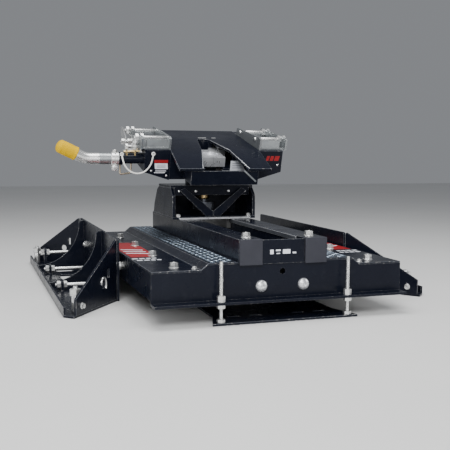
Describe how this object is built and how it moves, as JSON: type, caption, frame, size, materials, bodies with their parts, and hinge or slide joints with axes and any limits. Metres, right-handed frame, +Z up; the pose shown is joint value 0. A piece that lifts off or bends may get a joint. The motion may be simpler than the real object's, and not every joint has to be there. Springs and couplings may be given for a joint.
{
  "type": "fifth wheel hitch",
  "caption": "Sliding fifth wheel hitch with flared side brackets, railed platform, tower carriage, tilting jaw head, capture brackets and a grip-ended pull handle.",
  "frame": {"origin": "on the truck floor, under the middle of the platform's rear face, on the clamp plate's lower face", "axes": "+X to the truck's right, +Y forward in the truck, +Z up"},
  "size_m": [1.336, 1.54, 0.6371],
  "materials": {
    "black_paint": "glossy black powder coat",
    "tread_steel": "bright rolled tread pattern",
    "charcoal_plastic": "satin moulded",
    "zinc_plate": "bright zinc plate",
    "bright_steel": "machined and polished",
    "cast_iron": "as cast, oiled",
    "nylon": "satin",
    "bronze": "turned",
    "yellow_vinyl": "dipped vinyl",
    "wire": "yellow zinc",
    "white_coating": "extruded coating"
  },
  "bodies": {
    "platform": {"rear_crossmember": "black_paint", "front_crossmember": "black_paint", "deck_panels": "black_paint", "tread_strips": "tread_steel", "platform_end_plates": "black_paint", "rail_left": "black_paint", "rail_right": "black_paint", "rail_caps": "charcoal_plastic", "channel_floor": "black_paint", "channel_guide_strips": "bright_steel", "channel_end_plate": "black_paint", "lower_clamp_plate": "black_paint", "clamp_rods": "zinc_plate", "clamp_rod_nuts": "zinc_plate", "button_head_bolts": "zinc_plate", "deck_hex_bolts": "zinc_plate", "bracket_joint_bolts": "zinc_plate", "bracket_inner_plate_left": "black_paint", "bracket_inner_plate_right": "black_paint", "bracket_foot_left": "black_paint", "bracket_foot_right": "black_paint", "bracket_gussets_left": "black_paint", "bracket_gussets_right": "black_paint", "bracket_tie_rods": "zinc_plate", "bracket_tie_rod_nuts": "zinc_plate", "bracket_corner_bolts": "zinc_plate"},
    "carriage": {"carriage_sole_plate": "black_paint", "tower_side_plates": "black_paint", "tower_web": "black_paint", "tower_top_plate": "black_paint", "tower_v_braces": "black_paint", "tower_bolts": "zinc_plate", "pivot_bush": "bronze", "carriage_wear_bar": "bright_steel", "slide_shoes": "nylon"},
    "turret": {"turret_yoke": "black_paint", "swivel_post": "bright_steel"},
    "gimbal": {"gimbal_block": "cast_iron", "gimbal_pins": "bright_steel"},
    "head": {"head_lugs": "black_paint", "skid_plate": "black_paint", "head_shell_left": "black_paint", "head_shell_right": "black_paint", "head_skirt": "black_paint", "jaw_housing": "black_paint", "jaw_pins": "bright_steel", "capture_bracket_left": "zinc_plate", "capture_bracket_right": "zinc_plate", "capture_rods": "zinc_plate", "capture_rod_nuts": "zinc_plate", "handle_stub": "black_paint", "lock_pin": "bronze", "wire_bail": "wire", "tether_cable": "white_coating"},
    "left_jaw": {"jaw_left": "bright_steel"},
    "right_jaw": {"jaw_right": "bright_steel"},
    "handle": {"pull_bar": "bright_steel", "handle_collar": "zinc_plate", "handle_tube": "zinc_plate", "handle_grip": "yellow_vinyl"}
  },
  "joints": [
    {"name": "carriage_slide", "type": "slide", "parent": "platform", "child": "carriage", "axis": [0, -1, 0], "range_m": [0, 0.33]},
    {"name": "head_swivel", "type": "hinge", "parent": "carriage", "child": "turret", "pos_m": [0, 0.85, 0.402], "axis": [0, 0, 1], "range_deg": [-90, 90]},
    {"name": "head_pitch", "type": "hinge", "parent": "turret", "child": "gimbal", "pos_m": [0, 0.85, 0.46], "axis": [1, 0, 0], "range_deg": [-26, 0]},
    {"name": "head_roll", "type": "hinge", "parent": "gimbal", "child": "head", "pos_m": [0, 0.85, 0.46], "axis": [0, 0.9703, 0.2419], "range_deg": [-2.5, 2.5]},
    {"name": "handle_pull", "type": "slide", "parent": "head", "child": "handle", "axis": [-1, 0, 0], "range_m": [0, 0.09]},
    {"name": "left_jaw_pivot", "type": "hinge", "parent": "head", "child": "left_jaw", "pos_m": [-0.074, 0.88829, 0.53289], "axis": [0, -0.2419, 0.9703], "range_deg": [-30, 0]},
    {"name": "right_jaw_pivot", "type": "hinge", "parent": "head", "child": "right_jaw", "pos_m": [0.074, 0.88829, 0.53289], "axis": [0, -0.2419, 0.9703], "range_deg": [0, 30]}
  ],
  "couplings": [
    {"joint": "left_jaw_pivot", "follows": "handle_pull", "rad_per_m": -5.8},
    {"joint": "right_jaw_pivot", "follows": "handle_pull", "rad_per_m": 5.8}
  ]
}
